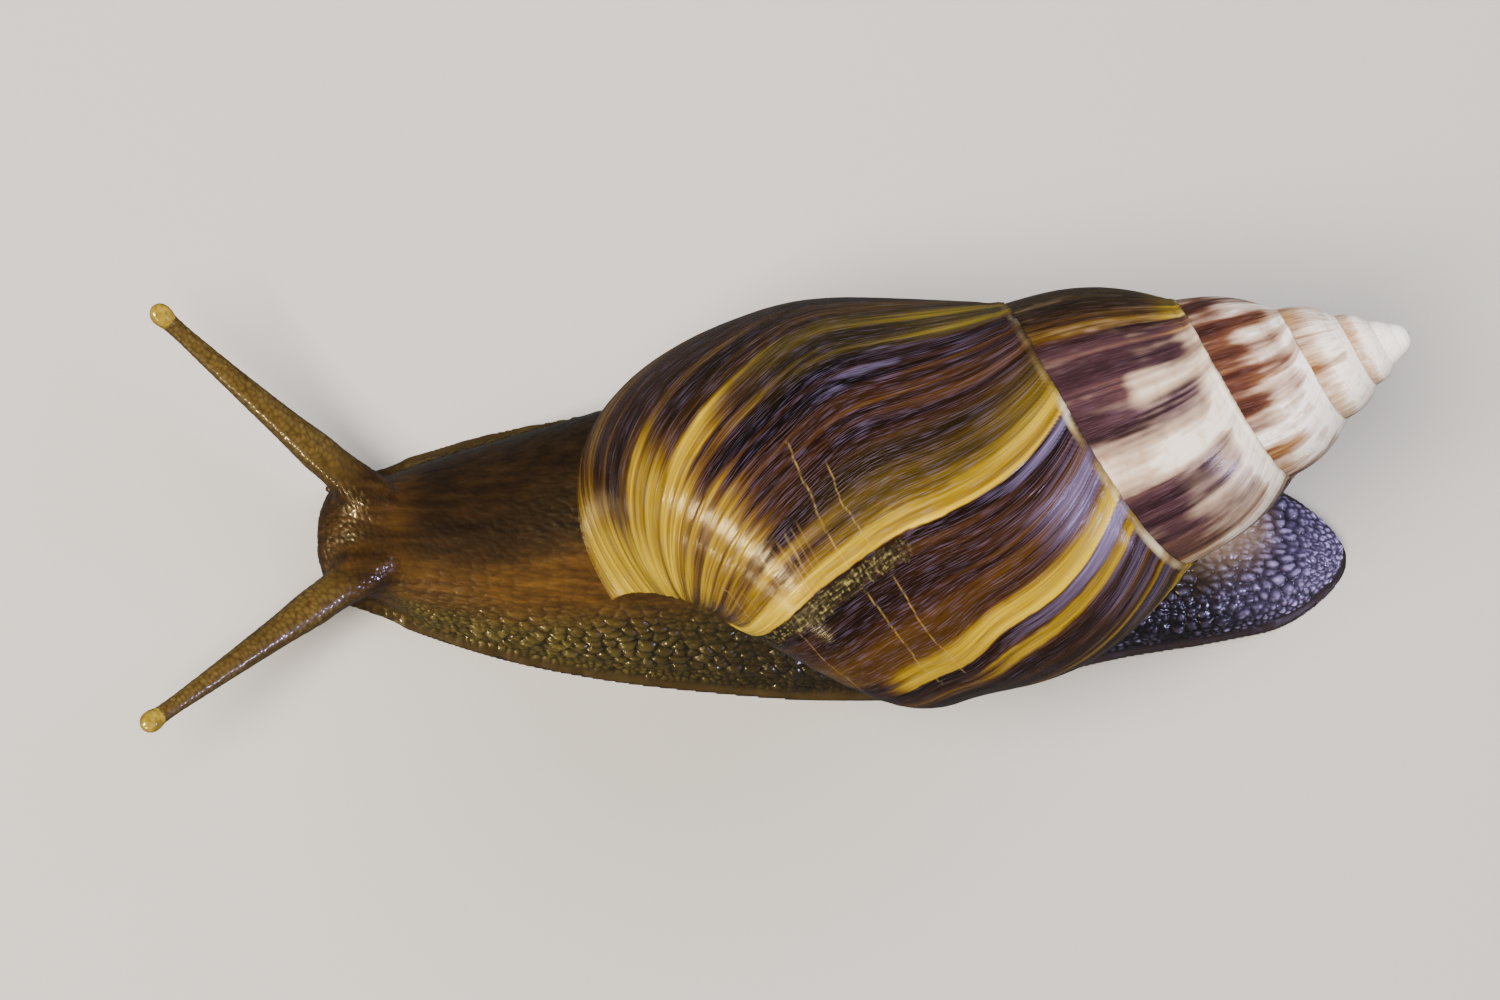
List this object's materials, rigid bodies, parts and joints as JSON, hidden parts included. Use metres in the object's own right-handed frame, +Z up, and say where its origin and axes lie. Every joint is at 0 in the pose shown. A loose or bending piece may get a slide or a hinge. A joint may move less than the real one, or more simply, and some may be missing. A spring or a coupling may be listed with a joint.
{
  "type": "giant African land snail model",
  "caption": "Life-size still model of a crawling giant African land snail, feelers raised, with its tall spiral shell on its back.",
  "frame": {"origin": "middle of the sole's length, on the ground", "axes": "+Z up; the head points towards -Y; the snail's left is +X"},
  "size_m": [0.0431, 0.1293, 0.0533],
  "materials": {
    "shell": "glossy shell, gold and chocolate streaks along the growth lines, cream at the top of the spire",
    "skin": "wet, warty skin, olive brown in front and grey at the tail",
    "eye": "wet and smooth, with a dark pupil"
  },
  "bodies": {
    "root": {"shell_protoconch": "shell", "shell_spire_upper": "shell", "shell_spire_middle": "shell", "shell_spire_lower": "shell", "shell_penultimate_whorl": "shell", "shell_body_whorl": "shell", "mantle": "skin", "head": "skin", "neck": "skin", "foot_front": "skin", "foot_middle": "skin", "foot_rear": "skin", "tail": "skin", "lips": "skin", "lower_feeler_left": "skin", "lower_feeler_right": "skin", "upper_feeler_left": "skin", "upper_feeler_right": "skin", "eye_left": "eye", "eye_right": "eye"}
  },
  "joints": []
}
